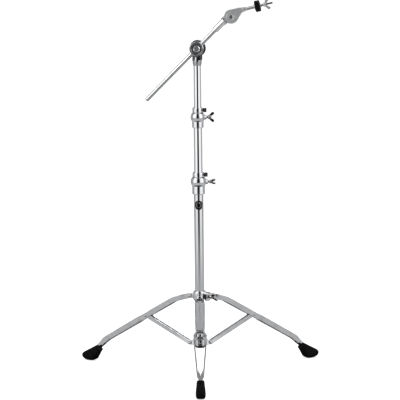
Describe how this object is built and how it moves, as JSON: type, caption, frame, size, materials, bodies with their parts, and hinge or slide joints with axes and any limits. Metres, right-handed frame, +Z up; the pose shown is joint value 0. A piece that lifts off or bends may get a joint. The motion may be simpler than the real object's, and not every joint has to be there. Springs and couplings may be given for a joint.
{
  "type": "cymbal boom stand",
  "caption": "Folding tripod stand with telescoping chromed tubes, wing-screw clamps, an adjustable boom rod and a tilting cymbal holder with felts.",
  "frame": {"origin": "centre of the whole stand's footprint, on the floor; the column's axis is 101 mm behind it, because one of the three legs points forwards", "axes": "+Z up along the column, -Y along the front leg, +X towards the side that the boom and the clamp screws point to"},
  "size_m": [0.7422, 0.6454, 1.133],
  "materials": {
    "chrome_tube": "polished chrome-plated steel tube",
    "chrome_strip": "chrome-plated pressed steel strip",
    "chrome_casting": "chrome-plated die casting",
    "plated_fastener": "plated steel fastener",
    "dark_steel": "dark plated screw steel",
    "black_rubber": "matt moulded rubber",
    "black_nylon": "moulded nylon",
    "black_felt": "pressed wool felt",
    "black_enamel": "gloss enamel with a bright rim"
  },
  "bodies": {
    "stand_base": {"base_tube": "chrome_tube", "base_tube_plug": "black_nylon", "lower_leg_collar": "chrome_casting", "brace_rivets": "plated_fastener", "lower_clamp": "chrome_casting", "oval_badge": "black_enamel"},
    "front_brace": {"front_brace_strip_left": "chrome_strip", "front_brace_strip_right": "chrome_strip", "front_brace_pin": "plated_fastener"},
    "front_leg": {"front_leg_strip_left": "chrome_strip", "front_leg_strip_right": "chrome_strip", "front_rubber_foot": "black_rubber"},
    "right_brace": {"right_brace_strip_left": "chrome_strip", "right_brace_strip_right": "chrome_strip", "right_brace_pin": "plated_fastener"},
    "right_leg": {"right_leg_strip_left": "chrome_strip", "right_leg_strip_right": "chrome_strip", "right_rubber_foot": "black_rubber"},
    "left_brace": {"left_brace_strip_left": "chrome_strip", "left_brace_strip_right": "chrome_strip", "left_brace_pin": "plated_fastener"},
    "left_leg": {"left_leg_strip_left": "chrome_strip", "left_leg_strip_right": "chrome_strip", "left_rubber_foot": "black_rubber"},
    "leg_collar": {"upper_leg_collar": "chrome_casting", "leg_rivets": "plated_fastener", "collar_clamp_shoe": "black_nylon"},
    "collar_screw": {"collar_screw": "dark_steel"},
    "collar_wing": {"collar_wing": "chrome_casting"},
    "lower_clamp_screw": {"lower_clamp_screw": "dark_steel"},
    "lower_clamp_wing": {"lower_clamp_wing": "chrome_casting"},
    "lower_turn": {"lower_bushing": "black_nylon", "lower_memory_lock": "chrome_casting", "lower_memory_bolt": "dark_steel"},
    "middle_tube": {"middle_tube": "chrome_tube", "upper_clamp": "chrome_casting"},
    "upper_clamp_screw": {"upper_clamp_screw": "dark_steel"},
    "upper_clamp_wing": {"upper_clamp_wing": "chrome_casting"},
    "upper_turn": {"upper_bushing": "black_nylon", "upper_memory_lock": "chrome_casting", "upper_memory_bolt": "dark_steel"},
    "upper_tube": {"upper_tube": "chrome_tube", "tilter_base": "chrome_casting"},
    "boom_clamp": {"boom_clamp_drum": "chrome_casting", "boom_eyebolt": "plated_fastener"},
    "boom_wing_washer": {"boom_wing_washer": "plated_fastener"},
    "boom_wing_nut": {"boom_wing_nut": "chrome_casting"},
    "boom_rod": {"boom_rod": "chrome_tube"},
    "boom_head": {"boom_socket": "chrome_casting"},
    "cymbal_arm": {"cymbal_arm": "chrome_casting", "tilter_pivot_screw": "plated_fastener", "cymbal_rod": "dark_steel", "cymbal_sleeve": "chrome_casting", "lower_felt": "black_felt"},
    "tilter_wing_washer": {"tilter_wing_washer": "plated_fastener"},
    "tilter_wing_nut": {"tilter_wing_nut": "chrome_casting"},
    "upper_felt": {"upper_felt": "black_felt"},
    "cymbal_nut_insert": {"cymbal_nut_insert": "dark_steel"},
    "cymbal_wing_nut": {"cymbal_wing_nut": "chrome_casting"}
  },
  "joints": [
    {"name": "tripod_fold", "type": "hinge", "parent": "stand_base", "child": "front_brace", "pos_m": [0, 0.06625, 0.087], "axis": [-1, 0, 0], "range_deg": [0, 54]},
    {"name": "front_leg_turn", "type": "hinge", "parent": "front_brace", "child": "front_leg", "pos_m": [0, -0.08675, 0.1595], "axis": [-1, 0, 0], "range_deg": [-108, 0]},
    {"name": "right_brace_fold", "type": "hinge", "parent": "stand_base", "child": "right_brace", "pos_m": [0.03031, 0.11875, 0.087], "axis": [0.5, -0.866, 0], "range_deg": [0, 54]},
    {"name": "right_leg_turn", "type": "hinge", "parent": "right_brace", "child": "right_leg", "pos_m": [0.16281, 0.19525, 0.1595], "axis": [0.5, -0.866, 0], "range_deg": [-108, 0]},
    {"name": "left_brace_fold", "type": "hinge", "parent": "stand_base", "child": "left_brace", "pos_m": [-0.03031, 0.11875, 0.087], "axis": [0.5, 0.866, 0], "range_deg": [0, 54]},
    {"name": "left_leg_turn", "type": "hinge", "parent": "left_brace", "child": "left_leg", "pos_m": [-0.16281, 0.19525, 0.1595], "axis": [0.5, 0.866, 0], "range_deg": [-108, 0]},
    {"name": "leg_collar_level", "type": "hinge", "parent": "front_leg", "child": "leg_collar", "pos_m": [0, 0.06625, 0.232], "axis": [-1, 0, 0], "range_deg": [0, 54]},
    {"name": "collar_wing_advance", "type": "slide", "parent": "leg_collar", "child": "collar_screw", "axis": [0.866, -0.5, 0], "range_m": [0, 0.003]},
    {"name": "collar_wing_turn", "type": "hinge", "parent": "collar_screw", "child": "collar_wing", "pos_m": [0.03464, 0.08125, 0.233], "axis": [0.866, -0.5, 0], "range_deg": [0, 720]},
    {"name": "lower_clamp_wing_advance", "type": "slide", "parent": "stand_base", "child": "lower_clamp_screw", "axis": [1, 0, 0], "range_m": [0, 0.003]},
    {"name": "lower_clamp_wing_turn", "type": "hinge", "parent": "lower_clamp_screw", "child": "lower_clamp_wing", "pos_m": [0.04, 0.10125, 0.582], "axis": [1, 0, 0], "range_deg": [0, 720]},
    {"name": "lower_swivel", "type": "hinge", "parent": "stand_base", "child": "lower_turn", "pos_m": [0, 0.10125, 0.582], "axis": [0, 0, 1], "range_deg": [-180, 180]},
    {"name": "middle_height", "type": "slide", "parent": "lower_turn", "child": "middle_tube", "axis": [0, 0, 1], "range_m": [-0.12, 0.2]},
    {"name": "upper_clamp_wing_advance", "type": "slide", "parent": "middle_tube", "child": "upper_clamp_screw", "axis": [1, 0, 0], "range_m": [0, 0.003]},
    {"name": "upper_clamp_wing_turn", "type": "hinge", "parent": "upper_clamp_screw", "child": "upper_clamp_wing", "pos_m": [0.04, 0.10125, 0.777], "axis": [1, 0, 0], "range_deg": [0, 720]},
    {"name": "upper_swivel", "type": "hinge", "parent": "middle_tube", "child": "upper_turn", "pos_m": [0, 0.10125, 0.777], "axis": [0, 0, 1], "range_deg": [-180, 180]},
    {"name": "upper_height", "type": "slide", "parent": "upper_turn", "child": "upper_tube", "axis": [0, 0, 1], "range_m": [-0.12, 0.2]},
    {"name": "boom_tilt", "type": "hinge", "parent": "upper_tube", "child": "boom_clamp", "pos_m": [0, 0.10125, 0.983], "axis": [-0.1392, -0.9903, 0], "range_deg": [-95, 8]},
    {"name": "boom_wing_advance", "type": "slide", "parent": "boom_clamp", "child": "boom_wing_washer", "axis": [0.1392, 0.9903, 0], "range_m": [0, 0.003]},
    {"name": "boom_wing_turn", "type": "hinge", "parent": "boom_wing_washer", "child": "boom_wing_nut", "pos_m": [0.00348, 0.12601, 0.983], "axis": [0.1392, 0.9903, 0], "range_deg": [0, 720]},
    {"name": "boom_slide", "type": "slide", "parent": "boom_clamp", "child": "boom_rod", "axis": [0.7002, -0.0984, 0.7071], "range_m": [-0.035, 0.18]},
    {"name": "boom_roll", "type": "hinge", "parent": "boom_rod", "child": "boom_head", "pos_m": [0.06302, 0.09239, 1.04664], "axis": [0.7002, -0.0984, 0.7071], "range_deg": [-180, 180]},
    {"name": "cymbal_tilt", "type": "hinge", "parent": "boom_head", "child": "cymbal_arm", "pos_m": [0.10293, 0.08678, 1.07846], "axis": [-0.1392, -0.9903, 0], "range_deg": [-90, 100]},
    {"name": "tilter_wing_advance", "type": "slide", "parent": "cymbal_arm", "child": "tilter_wing_washer", "axis": [0.1392, 0.9903, 0], "range_m": [0, 0.003]},
    {"name": "tilter_wing_turn", "type": "hinge", "parent": "tilter_wing_washer", "child": "tilter_wing_nut", "pos_m": [0.10502, 0.10164, 1.07846], "axis": [0.1392, 0.9903, 0], "range_deg": [0, 720]},
    {"name": "upper_felt_slide", "type": "slide", "parent": "cymbal_arm", "child": "upper_felt", "axis": [0.9649, -0.1356, 0.225], "range_m": [0, 0.009]},
    {"name": "cymbal_nut_advance", "type": "slide", "parent": "cymbal_arm", "child": "cymbal_nut_insert", "axis": [0.9649, -0.1356, 0.225], "range_m": [0, 0.0192]},
    {"name": "cymbal_nut_turn", "type": "hinge", "parent": "cymbal_nut_insert", "child": "cymbal_wing_nut", "pos_m": [0.2035, 0.07265, 1.11422], "axis": [0.9649, -0.1356, 0.225], "range_deg": [0, 5760]}
  ],
  "couplings": [
    {"joint": "front_leg_turn", "follows": "tripod_fold", "ratio": -2},
    {"joint": "right_brace_fold", "follows": "tripod_fold", "ratio": 1},
    {"joint": "right_leg_turn", "follows": "tripod_fold", "ratio": -2},
    {"joint": "left_brace_fold", "follows": "tripod_fold", "ratio": 1},
    {"joint": "left_leg_turn", "follows": "tripod_fold", "ratio": -2},
    {"joint": "leg_collar_level", "follows": "tripod_fold", "ratio": 1},
    {"joint": "collar_wing_advance", "follows": "collar_wing_turn", "m_per_rad": 0.00019894},
    {"joint": "lower_clamp_wing_advance", "follows": "lower_clamp_wing_turn", "m_per_rad": 0.00019894},
    {"joint": "upper_clamp_wing_advance", "follows": "upper_clamp_wing_turn", "m_per_rad": 0.00019894},
    {"joint": "boom_wing_advance", "follows": "boom_wing_turn", "m_per_rad": 0.00019894},
    {"joint": "tilter_wing_advance", "follows": "tilter_wing_turn", "m_per_rad": 0.00019894},
    {"joint": "cymbal_nut_advance", "follows": "cymbal_nut_turn", "m_per_rad": 0.00015915}
  ]
}
